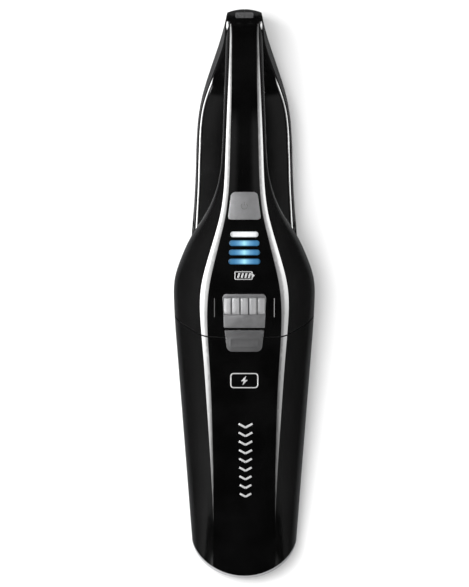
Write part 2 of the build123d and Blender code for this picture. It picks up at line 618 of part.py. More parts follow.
# ---------------------------------------------------------------- motor and fan
BULKHEAD_REAR = BULKHEAD_Y + BULKHEAD_T
SHROUD_RADIUS, SHROUD_WALL, SHROUD_LENGTH = 37.0, 2.0, 21.0
SHROUD_REAR = BULKHEAD_REAR + 0.1 + SHROUD_LENGTH
IMPELLER_RADIUS, BLADES = 32.0, 9
SHAFT_RADIUS = 1.6
CAN_RADIUS, CAN_LENGTH = 19.0, 34.0
CAN_REAR = SHROUD_REAR + 0.1 + CAN_LENGTH


def front_bulkhead():
    plate = block(-60, 60, BULKHEAD_Y, BULKHEAD_REAR, -10, 120) & spine(WALL + TOUCH)
    plate &= block(-60, 60, -20, 20, WALL + TOUCH, 120)
    return plate - rod(0, AXIS_Z, 22, -20, 20)


def fan_housing():
    front = BULKHEAD_REAR + 0.1
    shell = rod(0, AXIS_Z, SHROUD_RADIUS, front, SHROUD_REAR)
    shell -= rod(0, AXIS_Z, SHROUD_RADIUS - SHROUD_WALL, front + 2, SHROUD_REAR - 2)
    shell -= rod(0, AXIS_Z, 15, front - 1, front + 3)
    shell -= rod(0, AXIS_Z, 6.05, SHROUD_REAR - 3, SHROUD_REAR + 1)
    for i in range(12):
        window = Pos(0, 0, AXIS_Z) * Rot(0, 30 * i + 15, 0) * Pos(27, SHROUD_REAR - 1, 0) * Box(7, 4, 9)
        shell -= window
    return shell


def impeller():
    front, rear = BULKHEAD_REAR + 4.1, SHROUD_REAR - 4
    back = rod(0, AXIS_Z, IMPELLER_RADIUS, rear - 1.6, rear)
    hub = rod(0, AXIS_Z, 5, front + 1, rear)
    wheel = back + hub
    for i in range(BLADES):
        start, end = radians(360 * i / BLADES), radians(360 * i / BLADES - 55)
        points = []
        for t in (0, 0.33, 0.67, 1):
            radius, angle = 8 + (IMPELLER_RADIUS - 1 - 8) * t, start + (end - start) * t
            points.append((radius * cos(angle), radius * sin(angle)))
        curve = Plane((0, rear - 1, AXIS_Z), x_dir=(1, 0, 0), z_dir=(0, -1, 0)) * Spline(*points)
        normal = Vector(0, 1, 0)
        outer = [curve @ (k / 12) for k in range(13)]
        side = [(curve % (k / 12)).cross(normal) * 0.6 for k in range(13)]
        loop = [p + s for p, s in zip(outer, side)] + [p - s for p, s in zip(outer[::-1], side[::-1])]
        wheel += extrude(make_face(Polyline(*loop, close=True)), amount=rear - front - 1, dir=(0, -1, 0))
    eye = rod(0, AXIS_Z, IMPELLER_RADIUS, front, front + 1.2) - rod(0, AXIS_Z, 14, front - 1, front + 3)
    return wheel + eye - rod(0, AXIS_Z, SHAFT_RADIUS + 0.01, -20, 60)


def motor_shaft():
    return rod(0, AXIS_Z, SHAFT_RADIUS, BULKHEAD_REAR + 2.6, CAN_REAR + 3.5)


def motor_can():
    front = SHROUD_REAR + 0.1
    can = rod(0, AXIS_Z, CAN_RADIUS, front, CAN_REAR - 3)
    can -= rod(0, AXIS_Z, CAN_RADIUS - 1.2, front + 1.2, CAN_REAR)
    can -= rod(0, AXIS_Z, 5.05, front - 1, front + 3)
    for i in range(4):
        slot = Pos(0, front + 14, AXIS_Z) * Rot(0, 90 * i + 45, 0) * Pos(CAN_RADIUS, 0, 0) * Box(8, 14, 6)
        can -= slot
    return can


def motor_end_cap():
    cap = rod(0, AXIS_Z, CAN_RADIUS, CAN_REAR - 2.9, CAN_REAR) - rod(0, AXIS_Z, 5.05, CAN_REAR - 4, CAN_REAR + 1)
    for side in (-1, 1):
        cap += block(*sorted((side * 11, side * 14)), CAN_REAR - 0.5, CAN_REAR + 3, AXIS_Z - 2.5, AXIS_Z + 2.5)
    return cap


def motor_bearings():
    rings = Part()
    for y0 in (SHROUD_REAR - 0.6, CAN_REAR - 2.9):
        rings += rod(0, AXIS_Z, 5, y0, y0 + 4)
    return rings - rod(0, AXIS_Z, SHAFT_RADIUS + 0.03, -20, 80)


def motor_magnets():
    front = SHROUD_REAR + 5
    ring = rod(0, AXIS_Z, CAN_RADIUS - 1.25, front, front + 20) - rod(0, AXIS_Z, CAN_RADIUS - 4.5, 0, 80)
    return ring - block(-4, 4, 0, 80, 0, 80)


def rotor_core():
    front = SHROUD_REAR + 6
    core = rod(0, AXIS_Z, CAN_RADIUS - 5.2, front, front + 18)
    for i in range(7):
        core -= Pos(0, front + 9, AXIS_Z) * Rot(0, 360 / 7 * i, 0) * Pos(10, 0, 0) * Box(9, 30, 2.2)
    return core - rod(0, AXIS_Z, SHAFT_RADIUS + 0.01, 0, 80)


def commutator():
    front = SHROUD_REAR + 24.8
    drum = rod(0, AXIS_Z, 4.2, front, front + 5)
    for i in range(7):
        drum -= Pos(0, front + 2.5, AXIS_Z) * Rot(0, 360 / 7 * i, 0) * Pos(4.2, 0, 0) * Box(1.2, 6, 0.35)
    return drum - rod(0, AXIS_Z, SHAFT_RADIUS + 0.01, 0, 80)


def motor_brushes():
    front = SHROUD_REAR + 25.4
    pair = Part()
    for side in (-1, 1):
        pair += block(*sorted((side * 4.3, side * 12)), front, front + 3.6, AXIS_Z - 1.6, AXIS_Z + 1.6)
    return pair


def motor_cradle():
    """Ring with four feet that holds the motor can inside the housing."""
    y0, y1 = SHROUD_REAR + 18, SHROUD_REAR + 22
    ring = rod(0, AXIS_Z, CAN_RADIUS + 5, y0, y1)
    feet = block(-3, 3, y0, y1, WALL + 0.1, AXIS_Z)
    for side in (-1, 1):
        feet += block(*sorted((side * 18, side * 36.2)), y0, y1, AXIS_Z - 6, AXIS_Z - 1)
    return ring + feet - rod(0, AXIS_Z, CAN_RADIUS + 2.05, y0 - 1, y1 + 1)


def motor_mount_ring():
    y0 = SHROUD_REAR + 17
    ring = rod(0, AXIS_Z, CAN_RADIUS + 2, y0, y0 + 6) - rod(0, AXIS_Z, CAN_RADIUS + 0.03, y0 - 1, y0 + 7)
    return ring


# ---------------------------------------------------------------- battery
CELL_RADIUS, CELL_LENGTH, CELLS_Y = 9.15, 65.0, 74.0
CELLS = [(-18.7, 13.2), (0, 13.2), (18.7, 13.2), (-9.35, 29.4), (9.35, 29.4)]


def battery_cells():
    cells = Part()
    for x, z in CELLS:
        can = rod(x, z, CELL_RADIUS, CELLS_Y, CELLS_Y + CELL_LENGTH - 1.2)
        neck = rod(x, z, CELL_RADIUS - 0.6, CELLS_Y, CELLS_Y + CELL_LENGTH - 0.6)
        cells += can + neck + rod(x, z, 3.0, CELLS_Y, CELLS_Y + CELL_LENGTH)
    return cells


def cell_holder(y):
    plate = rod(*CELLS[0], CELL_RADIUS + 1.5, y, y + 5)
    for i, j in ((0, 2), (2, 4), (4, 3), (3, 0)):
        (x0, z0), (x1, z1) = CELLS[i], CELLS[j]
        length = ((x1 - x0) ** 2 + (z1 - z0) ** 2) ** 0.5
        turn = -degrees(atan2(z1 - z0, x1 - x0))
        bridge = Pos((x0 + x1) / 2, y + 2.5, (z0 + z1) / 2) * Rot(0, turn, 0)
        plate += bridge * Box(length, 5, 2 * CELL_RADIUS + 3) + rod(x1, z1, CELL_RADIUS + 1.5, y, y + 5)
    for x, z in CELLS:
        plate -= rod(x, z, CELL_RADIUS + 0.05, y - 1, y + 6)
    return plate


def nickel_strips():
    strips = Part()
    for y, pairs in ((CELLS_Y - 0.3, ((0, 1), (2, 4))), (CELLS_Y + CELL_LENGTH + 0.1, ((1, 2), (3, 4)))):
        for i, j in pairs:
            (x0, z0), (x1, z1) = CELLS[i], CELLS[j]
            length = ((x1 - x0) ** 2 + (z1 - z0) ** 2) ** 0.5
            turn = -degrees(atan2(z1 - z0, x1 - x0))
            strips += Pos((x0 + x1) / 2, y + 0.1, (z0 + z1) / 2) * Rot(0, turn, 0) * Box(length + 7, 0.2, 6)
    return strips


def bms_board():
    """Charging board that stands behind the cells."""
    y = CELLS_Y + CELL_LENGTH + 3.4
    board = Pos(0, y, 21) * Box(40, 1.6, 26)
    parts = [(-12, 26, 6, 4, 5), (0, 25, 8, 2, 8), (12, 27, 5, 5, 5), (-8, 15, 4, 2, 4), (9, 14, 7, 2, 4)]
    for x, z, width, depth, height in parts:
        board += Pos(x, y + 0.8 + depth / 2 - 0.1, z) * Box(width, depth, height)
    return board


def lead(points, radius=0.9):
    path = FilletPolyline(*points, radius=1.4)
    return sweep(Plane(path @ 0, z_dir=path % 0) * Circle(radius), path)


def battery_leads():
    """Two leads from the charging board over the cells to the motor."""
    leads = Part()
    board_y, motor_y = CELLS_Y + CELL_LENGTH + 3.4, CAN_REAR + 3.2
    for side in (-1, 1):
        leads += lead([(side * 5, board_y, 34.1), (side * 5, board_y, 41.5), (side * 12.5, 100, 41.5),
                       (side * 12.5, motor_y, 41.5)])
    return leads


def switch_leads():
    """Two leads from the charging board's side up the neck to the switch."""
    leads = Part()
    for side in (-1, 1):
        leads += lead([(side * 24, 72.5, 34), (side * 24, 56, 38), (side * 20, 54, 66), (side * 7, 58, 88),
                       (side * 7, 63, 97.6)], 0.7)
    return leads


# ---------------------------------------------------------------- build
def build():
    hull, hollow = outer_hull(), cavity()
    body = housing(hull, hollow)
    return {
        "housing_left": housing_left(body),
        "housing_right": housing_right(body),
        "top_cover": top_cover(),
        "tail_insert": tail_insert(),
        "housing_screws": housing_screws(),
        "charge_contacts": charge_contacts(),
        "contact_holder": contact_holder(),
        "front_bulkhead": front_bulkhead(),
        "power_button": power_button(),
        "switch_board": switch_board(),
        "switch_body": switch_body(),
        "switch_plunger": switch_plunger(),
        "led_lens_white": led_lenses(LEDS[:1]),
        "led_lens_blue": led_lenses(LEDS[1:]),
        "led_board": led_board(),
        "led_chips": led_chips(),
        "release_slider": release_slider(),
        "latch_lever": latch_lever(),
        "latch_pin": latch_pin(),
        "release_spring": release_spring(),
        "cup_shell": cup_shell(hull, hollow),
        "cup_catch_tab": catch_tab(),
        "cup_gasket": cup_gasket(),
        "inlet_duct": inlet_duct(),
        "inlet_flap": inlet_flap(),
        "flap_pin": flap_pin(),
        "filter_frame": filter_frame(),
        "filter_media": filter_media(),
        "filter_seal": filter_seal(),
        "fan_housing": fan_housing(),
        "impeller": impeller(),
        "motor_shaft": motor_shaft(),
        "motor_can": motor_can(),
        "motor_end_cap": motor_end_cap(),
        "motor_bearings": motor_bearings(),
        "motor_magnets": motor_magnets(),
        "rotor_core": rotor_core(),
        "commutator": commutator(),
        "motor_brushes": motor_brushes(),
        "motor_cradle": motor_cradle(),
        "motor_mount_ring": motor_mount_ring(),
        "battery_cells": battery_cells(),
        "cell_holder_front": cell_holder(CELLS_Y + 4),
        "cell_holder_rear": cell_holder(CELLS_Y + 55),
        "nickel_strips": nickel_strips(),
        "bms_board": bms_board(),
        "battery_leads": battery_leads(),
        "switch_leads": switch_leads(),
    }


os.makedirs("parts", exist_ok=True)
for name, shape in build().items():
    export_step(shape, f"parts/{name}.step")
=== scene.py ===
"""Looks for the cordless handheld vacuum: finishes, prints, floor, light and camera."""
import json
import math

import bpy
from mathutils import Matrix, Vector
from mathutils.bvhtree import BVHTree

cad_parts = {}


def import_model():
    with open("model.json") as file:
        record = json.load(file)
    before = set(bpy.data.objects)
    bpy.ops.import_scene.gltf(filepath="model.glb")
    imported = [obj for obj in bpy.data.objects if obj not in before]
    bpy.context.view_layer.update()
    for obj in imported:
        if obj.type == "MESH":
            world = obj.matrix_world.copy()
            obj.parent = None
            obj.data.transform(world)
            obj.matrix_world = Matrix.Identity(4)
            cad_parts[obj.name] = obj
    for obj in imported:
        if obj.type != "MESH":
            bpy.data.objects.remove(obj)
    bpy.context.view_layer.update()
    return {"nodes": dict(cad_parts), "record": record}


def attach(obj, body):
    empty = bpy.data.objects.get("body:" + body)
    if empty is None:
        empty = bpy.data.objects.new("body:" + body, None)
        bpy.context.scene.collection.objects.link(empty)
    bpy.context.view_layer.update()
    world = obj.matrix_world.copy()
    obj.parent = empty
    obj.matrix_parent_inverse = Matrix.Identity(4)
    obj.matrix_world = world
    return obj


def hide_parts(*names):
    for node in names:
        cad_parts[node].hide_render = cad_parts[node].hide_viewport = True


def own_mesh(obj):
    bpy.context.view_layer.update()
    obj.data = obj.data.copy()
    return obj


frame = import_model()
NODES = frame["nodes"]
MM = 0.001


# ---------------------------------------------------------------- materials
class Shader:
    """A small helper that builds one node material around a Principled BSDF."""

    def __init__(self, name, **values):
        self.material = bpy.data.materials.new(name)
        self.material.use_nodes = True
        self.tree = self.material.node_tree
        self.bsdf = self.tree.nodes["Principled BSDF"]
        self.coords = self.tree.nodes.new("ShaderNodeTexCoord").outputs["Object"]
        for socket, value in values.items():
            self.bsdf.inputs[socket.replace("_", " ")].default_value = value
        self.bump = None

    def link(self, source, target):
        self.tree.links.new(source, target)

    def noise(self, scale, detail=4.0, roughness=0.55, stretch=None):
        node = self.tree.nodes.new("ShaderNodeTexNoise")
        node.inputs["Scale"].default_value = scale
        node.inputs["Detail"].default_value = detail
        node.inputs["Roughness"].default_value = roughness
        source = self.coords
        if stretch:
            mapping = self.tree.nodes.new("ShaderNodeMapping")
            mapping.inputs["Scale"].default_value = stretch
            self.link(self.coords, mapping.inputs["Vector"])
            source = mapping.outputs["Vector"]
        self.link(source, node.inputs["Vector"])
        return node.outputs["Fac"]

    def axis(self, letter):
        """One coordinate of the object, in metres."""
        node = self.tree.nodes.new("ShaderNodeSeparateXYZ")
        self.link(self.coords, node.inputs["Vector"])
        return node.outputs[letter]

    def maths(self, operation, *values):
        node = self.tree.nodes.new("ShaderNodeMath")
        node.operation = operation
        for socket, value in zip(node.inputs, values):
            if isinstance(value, (int, float)):
                socket.default_value = value
            else:
                self.link(value, socket)
        return node.outputs["Value"]

    def mix(self, factor, a, b):
        """Blend two colours, each a tuple or a socket."""
        node = self.tree.nodes.new("ShaderNodeMix")
        node.data_type = "RGBA"
        self.link(factor, node.inputs["Factor"])
        for socket, value in (("A", a), ("B", b)):
            if isinstance(value, tuple):
                node.inputs[socket].default_value = (*value, 1)
            else:
                self.link(value, node.inputs[socket])
        return node.outputs["Result"]

    def ramp(self, source, stops):
        node = self.tree.nodes.new("ShaderNodeValToRGB")
        ramp = node.color_ramp
        while len(ramp.elements) < len(stops):
            ramp.elements.new(0.5)
        for element, (position, colour) in zip(ramp.elements, stops):
            element.position = position
            element.color = (*colour, 1) if len(colour) == 3 else colour
        self.link(source, node.inputs["Fac"])
        return node.outputs["Color"]

    def spread(self, source, low, high, start=0.3, end=0.7):
        """Map a 0-1 source to a range of values."""
        node = self.tree.nodes.new("ShaderNodeMapRange")
        for socket, value in (("From Min", start), ("From Max", end), ("To Min", low), ("To Max", high)):
            node.inputs[socket].default_value = value
        self.link(source, node.inputs["Value"])
        return node.outputs["Result"]

    def colour(self, source, dark, light, start=0.35, end=0.65):
        self.link(self.ramp(source, [(start, dark), (end, light)]), self.bsdf.inputs["Base Color"])

    def roughness(self, source, low, high):
        self.link(self.spread(source, low, high), self.bsdf.inputs["Roughness"])

    def relief(self, source, height_mm, strength=1.0):
        """Add a bump layer on top of the ones already there."""
        node = self.tree.nodes.new("ShaderNodeBump")
        node.inputs["Strength"].default_value = strength
        node.inputs["Distance"].default_value = height_mm * MM
        self.link(source, node.inputs["Height"])
        if self.bump:
            self.link(self.bump, node.inputs["Normal"])
        self.bump = node.outputs["Normal"]
        self.link(self.bump, self.bsdf.inputs["Normal"])


def grey(value):
    return (value, value, value * 1.02)


def gloss(name, dark, light, rough=(0.07, 0.12), peel=0.004):
    """Polished black plastic: faint orange peel, uneven polish and sparse fine dust."""
    s = Shader(name, IOR=1.5, Specular_IOR_Level=0.5, Coat_Weight=0.5, Coat_Roughness=0.05)
    s.colour(s.noise(38, 5), dark, light)
    s.roughness(s.noise(55, 6, 0.65), *rough)
    s.relief(s.noise(150, 1, 0.3), peel)
    return s.material


def satin(name, dark, light, rough=(0.32, 0.42), grain=0.012, metallic=0.0):
    """Sprayed satin plastic with a fine spark-eroded grain."""
    s = Shader(name, IOR=1.5, Metallic=metallic)
    s.colour(s.noise(90, 6), dark, light)
    s.roughness(s.noise(160, 4), *rough)
    s.relief(s.noise(2600, 3, 0.6), grain)
    s.relief(s.noise(420, 2, 0.5), grain * 0.6)
    return s.material


def moulded(name, dark, light, grain=0.03):
    """Plain textured moulding for the inside."""
    s = Shader(name, IOR=1.48)
    s.colour(s.noise(70, 5), dark, light)
    s.roughness(s.noise(120, 4), 0.5, 0.68)
    s.relief(s.noise(1500, 4, 0.6), grain)
    return s.material


def metal(name, dark, light, rough=(0.22, 0.38), brush=(1, 1, 1), anisotropic=0.0):
    s = Shader(name, Metallic=1.0, Anisotropic=anisotropic)
    s.colour(s.noise(60, 5), dark, light)
    s.roughness(s.noise(300, 5, 0.6, brush), *rough)
    s.relief(s.noise(900, 3, 0.6, brush), 0.006)
    return s.material


def rubber(name, dark, light):
    s = Shader(name, IOR=1.45, Specular_IOR_Level=0.1)
    s.colour(s.noise(80, 5), dark, light)
    s.roughness(s.noise(200, 5), 0.62, 0.82)
    s.relief(s.noise(1100, 4, 0.65), 0.03)
    return s.material


def light_bar(name, stops, rim, half_length, rows, half_width):
    """Light pipes, brightest at their centres and fading towards both ends and the rim."""
    s = Shader(name, Roughness=0.25, IOR=1.49, Specular_IOR_Level=0.3)
    s.bsdf.inputs["Emission Strength"].default_value = 1.0
    along = s.spread(s.maths("ABSOLUTE", s.axis("X")), 0.0, 1.0, 0.0, half_length * MM)
    glow = s.ramp(s.maths("MULTIPLY_ADD", s.noise(900, 3), 0.12, along), stops)
    near = None
    for row in rows:
        away = s.maths("ABSOLUTE", s.maths("SUBTRACT", s.axis("Y"), row * MM))
        near = s.maths("MINIMUM", near, away) if near else away
    inside = s.spread(near, 1.0, 0.0, half_width * 0.45 * MM, half_width * MM)
    s.link(s.mix(inside, rim, glow), s.bsdf.inputs["Emission Color"])
    s.colour(s.noise(600, 3), tuple(c * 0.3 for c in rim), tuple(c * 0.5 for c in rim))
    s.relief(s.noise(800, 3), 0.01)
    return s.material


def control_satin(name):
    """Sprayed metallic satin; the slider's ribs are painted paler than its plate as a highlight, with painted
    light and shade across their fine ridges and painted shade in the dark gaps between them.
    """
    s = Shader(name, IOR=1.5, Metallic=0.75)
    y = s.spread(s.axis("Y"), 0.0, 1.0, RIB_ZONE[0] * MM, RIB_ZONE[1] * MM)
    in_ribs = s.maths("MULTIPLY", s.maths("GREATER_THAN", y, 0.001), s.maths("LESS_THAN", y, 0.999))
    off_centre = s.maths("PINGPONG", s.axis("X"), RIB_PITCH / 2 * MM)
    # Painted shade: the gaps between the ribs are kept dark like shaded grooves.
    painted_groove_shade = s.spread(off_centre, 0.0, 1.0, 2.35 * MM, 2.75 * MM)
    grain = s.noise(160, 6)
    on_button = s.maths("GREATER_THAN", s.axis("Y"), 20 * MM)
    plain = s.mix(on_button, s.ramp(grain, [(0.35, grey(0.19)), (0.65, grey(0.235))]),
                  s.ramp(grain, [(0.35, grey(0.255)), (0.65, grey(0.295))]))
    ridges = s.maths("PINGPONG", s.axis("X"), 0.55 * MM)
    # Painted light and shade across each fine ridge, shifted a little by noise.
    uneven_ridge_shading = s.maths("ADD", ridges, s.maths("MULTIPLY", s.noise(900, 3), 0.0002))
    # Painted highlight: the ribs are coloured far paler than the plate.
    painted_rib_highlight = s.ramp(s.spread(uneven_ridge_shading, 0.0, 1.0, 0.0, 0.00075), [(0.15, grey(0.56)), (0.8, grey(0.42))])
    s.link(s.mix(in_ribs, plain, s.mix(painted_groove_shade, painted_rib_highlight, grey(0.22))), s.bsdf.inputs["Base Color"])
    s.roughness(s.noise(200, 4), 0.42, 0.5)
    s.relief(s.noise(2600, 3, 0.6), 0.012)
    s.relief(s.maths("MULTIPLY", ridges, in_ribs), 90.0, 0.35)
    return s.material


def print_ink(name, dark, light, emission=0.0):
    s = Shader(name, IOR=1.5, Coat_Weight=0.3)
    s.colour(s.noise(900, 4), dark, light)
    s.roughness(s.noise(500, 4), 0.3, 0.45)
    if emission:
        s.bsdf.inputs["Emission Color"].default_value = (*light, 1)
        s.bsdf.inputs["Emission Strength"].default_value = emission
    s.relief(s.noise(1600, 3), 0.004)
    return s.material


def board(name):
    """Solder mask with faint copper tracks under it."""
    s = Shader(name, IOR=1.5, Coat_Weight=0.4)
    tracks = s.tree.nodes.new("ShaderNodeTexBrick")
    tracks.inputs["Scale"].default_value = 160
    tracks.inputs["Color1"].default_value = (0.01, 0.10, 0.035, 1)
    tracks.inputs["Color2"].default_value = (0.012, 0.12, 0.04, 1)
    tracks.inputs["Mortar"].default_value = (0.03, 0.22, 0.07, 1)
    tracks.inputs["Mortar Size"].default_value = 0.012
    s.link(s.coords, tracks.inputs["Vector"])
    s.link(tracks.outputs["Color"], s.bsdf.inputs["Base Color"])
    s.roughness(s.noise(300, 4), 0.25, 0.4)
    s.relief(tracks.outputs["Fac"], 0.03, 0.5)
    return s.material


def cloth(name):
    """Non-woven filter medium with caught dust in patches."""
    s = Shader(name, Sheen_Weight=0.3, Specular_IOR_Level=0.2)
    s.colour(s.noise(130, 8, 0.7), (0.50, 0.48, 0.43), (0.82, 0.81, 0.77))
    s.roughness(s.noise(300, 4), 0.85, 0.97)
    s.relief(s.noise(2400, 6, 0.75), 0.08)
    return s.material


def wrap(name):
    """Heat-shrink sleeve on the cells."""
    s = Shader(name, IOR=1.5, Coat_Weight=0.3)
    s.colour(s.noise(45, 5), (0.012, 0.10, 0.24), (0.02, 0.16, 0.34))
    s.roughness(s.noise(200, 4), 0.22, 0.34)
    s.relief(s.noise(500, 3, 0.5, (1, 0.15, 1)), 0.02)
    return s.material


def finishes():
    """One material per material slot of the record, with a few nodes of their own."""
    return {
        "gloss_black": gloss("shell_gloss", grey(0.0018), grey(0.0036)),
        "cup_black": gloss("cup_gloss", grey(0.0012), grey(0.0026), (0.06, 0.11)),
        "cover_black": gloss("cover_gloss", grey(0.0012), grey(0.0026), (0.05, 0.09), 0.003),
        "control_grey": control_satin("control_satin"),
        "tab_grey": satin("tab_satin", grey(0.115), grey(0.14), (0.4, 0.48), metallic=0.7),
        "insert_black": satin("insert_satin", grey(0.05), grey(0.10), (0.2, 0.3), 0.02),
        "inner_black": moulded("inner_black", grey(0.018), grey(0.035)),
        "inner_grey": moulded("inner_grey", grey(0.22), grey(0.30)),
        "led_white": light_bar("led_white", [(0.1, grey(0.96)), (0.5, grey(0.82)), (0.85, grey(0.70)),
                                             (1.0, grey(0.3))], (0.30, 0.32, 0.33), 10.5, [45.1], 2.4),
        "led_blue": light_bar("led_blue", [(0.07, (0.44, 0.88, 0.97)), (0.22, (0.28, 0.60, 0.78)),
                                           (0.42, (0.14, 0.34, 0.54)), (0.68, (0.06, 0.205, 0.385)),
                                           (0.93, (0.05, 0.16, 0.28)), (1.05, (0.01, 0.05, 0.11))],
                              (0.015, 0.07, 0.15), 11.9, [38.5, 31.6, 24.8], 2.4),
        "pcb": board("solder_mask"),
        "chip": light_bar("chip", [(0.1, (0.2, 0.19, 0.13)), (0.9, (0.12, 0.11, 0.07))],
                          (0.08, 0.07, 0.04), 12, [45.1, 38.5, 31.6, 24.8], 3.0),
        "rubber": rubber("rubber", grey(0.003), grey(0.007)),
        "steel": metal("steel", grey(0.42), grey(0.56), brush=(1, 0.1, 1)),
        "spring_steel": metal("spring_steel", grey(0.45), grey(0.62), (0.15, 0.3)),
        "copper": metal("copper", (0.55, 0.26, 0.13), (0.78, 0.44, 0.26), (0.2, 0.36)),
        "filter_cloth": cloth("filter_cloth"),
        "magnet": moulded("magnet", grey(0.05), grey(0.09), 0.05),
        "cell_wrap": wrap("cell_wrap"),
        "carbon": moulded("carbon", grey(0.02), grey(0.04), 0.05),
        "wire_red": rubber("wire_red", (0.28, 0.012, 0.008), (0.42, 0.02, 0.012)),
    }


def dress_nodes(materials):
    """Give every CAD node its slot's material."""
    for part in frame["record"]["subparts"]:
        node = NODES[part["node"]]
        node.data.materials.clear()
        node.data.materials.append(materials[part["material_slot"]])


def soften(node, width_mm, angle=35.0, segments=3):
    """Round the sharp edges of a small CAD part with modifiers."""
    weld = node.modifiers.new("weld", "WELD")
    weld.merge_threshold = 0.002 * MM
    bevel = node.modifiers.new("soften", "BEVEL")
    bevel.width = width_mm * MM
    bevel.segments = segments
    bevel.limit_method = "ANGLE"
    bevel.angle_limit = math.radians(angle)
    bevel.harden_normals = True
    bevel.use_clamp_overlap = True


RIB_ZONE, RIB_PITCH = (-15.0, -2.3), 6.4  # the slider's ribs: extent in y, pitch in x


def return_spring(materials):
    """The slider's coil spring, copied from its CAD node and fixed to the housing; the copy keeps its length
    and does not shorten as the slider is pulled back.
    """
    coil = bpy.data.objects.new("return_spring", NODES["release_spring"].data.copy())
    bpy.context.collection.objects.link(coil)
    coil.data.materials.clear()
    coil.data.materials.append(materials["spring_steel"])
    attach(coil, "housing")
    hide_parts("release_spring")
    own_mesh(coil)


# ---------------------------------------------------------------- prints draped on the CAD surface
class Drape:
    """Reads the height of one or more CAD nodes seen from above."""

    def __init__(self, *names):
        self.trees = []
        for name in names:
            mesh = NODES[name].data
            verts = [v.co.copy() for v in mesh.vertices]
            faces = [tuple(p.vertices) for p in mesh.polygons]
            self.trees.append(BVHTree.FromPolygons(verts, faces))

    def height(self, x, y):
        hits = [tree.ray_cast(Vector((x, y, 0.3)), Vector((0, 0, -1)))[0] for tree in self.trees]
        return max(h.z for h in hits if h)


def piece_from(name, verts, faces, material, body):
    mesh = bpy.data.meshes.new(name)
    mesh.from_pydata(verts, [], faces)
    mesh.materials.append(material)
    for polygon in mesh.polygons:
        polygon.use_smooth = True
    obj = bpy.data.objects.new(name, mesh)
    bpy.context.collection.objects.link(obj)
    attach(obj, body)
    return obj


def inset_loop(loop, distance):
    """Move each point of a counter-clockwise closed XY loop inwards."""
    count, result = len(loop), []
    for i, (x, y) in enumerate(loop):
        (ax, ay), (bx, by) = loop[i - 1], loop[(i + 1) % count]
        tx, ty = bx - ax, by - ay
        length = math.hypot(tx, ty) or 1
        result.append((x - ty / length * distance, y + tx / length * distance))
    return result


def film(name, loops, drape, material, body, lift=0.05, thickness=0.06):
    """Thin raised print: each outline (mm, counter-clockwise) becomes a closed slab lying on the surface."""
    verts, faces = [], []
    for loop in loops:
        base = len(verts)
        count = len(loop)
        centre = (sum(p[0] for p in loop) / count, sum(p[1] for p in loop) / count)
        top, side = inset_loop(loop, 0.03), loop
        for ring, height in ((side, lift - thickness), (side, lift * 0.4), (top, lift)):
            for x, y in ring:
                verts.append((x * MM, y * MM, drape.height(x * MM, y * MM) + height * MM))
        for k in range(2):
            for i in range(count):
                j = (i + 1) % count
                a, b = base + k * count, base + (k + 1) * count
                faces.append((a + i, a + j, b + j, b + i))
        middle = drape.height(centre[0] * MM, centre[1] * MM)
        for height in (lift, lift - thickness):
            verts.append((centre[0] * MM, centre[1] * MM, middle + height * MM))
        for i in range(count):
            j = (i + 1) % count
            faces.append((base + 2 * count + i, base + 2 * count + j, base + 3 * count))
            faces.append((base + j, base + i, base + 3 * count + 1))
    return piece_from(name, verts, faces, material, body)


def dense(points, step=0.4):
    """Closed loop with points added so that no side is longer than step."""
    result = []
    for (ax, ay), (bx, by) in zip(points, points[1:] + points[:1]):
        parts = max(1, math.ceil(math.hypot(bx - ax, by - ay) / step))
        result += [(ax + (bx - ax) * k / parts, ay + (by - ay) * k / parts) for k in range(parts)]
    return result


def arc_points(cx, cy, radius, start, end, count):
    angles = [math.radians(start + (end - start) * k / (count - 1)) for k in range(count)]
    return [(cx + radius * math.cos(a), cy + radius * math.sin(a)) for a in angles]


def round_rect(cx, cy, width, height, radius):
    w, h = width / 2 - radius, height / 2 - radius
    loop = []
    for sx, sy, start in ((1, 1, 0), (-1, 1, 90), (-1, -1, 180), (1, -1, 270)):
        loop += arc_points(cx + sx * w, cy + sy * h, radius, start, start + 90, 6)
    return dense(loop)


def stroke(points, width):
    """Outline of an open line of the given width with square ends."""
    left, right = [], []
    for i, (x, y) in enumerate(points):
        ax, ay = points[max(i - 1, 0)]
        bx, by = points[min(i + 1, len(points) - 1)]
        length = math.hypot(bx - ax, by - ay)
        nx, ny = -(by - ay) / length * width / 2, (bx - ax) / length * width / 2
        left.append((x + nx, y + ny))
        right.append((x - nx, y - ny))
    return right + left[::-1]


def stroke_quads(points, width):
    """The same line as a row of separate short outlines, for lines that bend a lot."""
    return [stroke(list(pair), width) for pair in zip(points, points[1:])]


# ---------------------------------------------------------------- generic marks
def battery_picture(cover, materials):
    """Small battery outline with four slanted bars and a terminal towards +X."""
    cx, cy, width, height = -0.6, 14.3, 13.6, 6.4
    outer, inner = round_rect(cx, cy, width, height, 0.9), round_rect(cx, cy, width - 1.5, height - 1.5, 0.4)
    ring = ring_piece("battery_frame", outer, inner, cover, materials["ink_grey"], "housing")
    bars = []
    for k in range(4):
        x = cx - 4.6 + 2.7 * k
        corners = [(x - 0.2, cy - 1.9), (x + 1.2, cy - 1.9), (x + 2.2, cy + 1.9), (x + 0.8, cy + 1.9)]
        bars.append(dense(corners))
    film("battery_bars", bars, cover, materials["ink_white"], "housing")
    nub = dense([(cx + 6.9, cy - 1.5), (cx + 8.3, cy), (cx + 6.9, cy + 1.5)])
    film("battery_nub", [nub], cover, materials["ink_white"], "housing")
    return ring


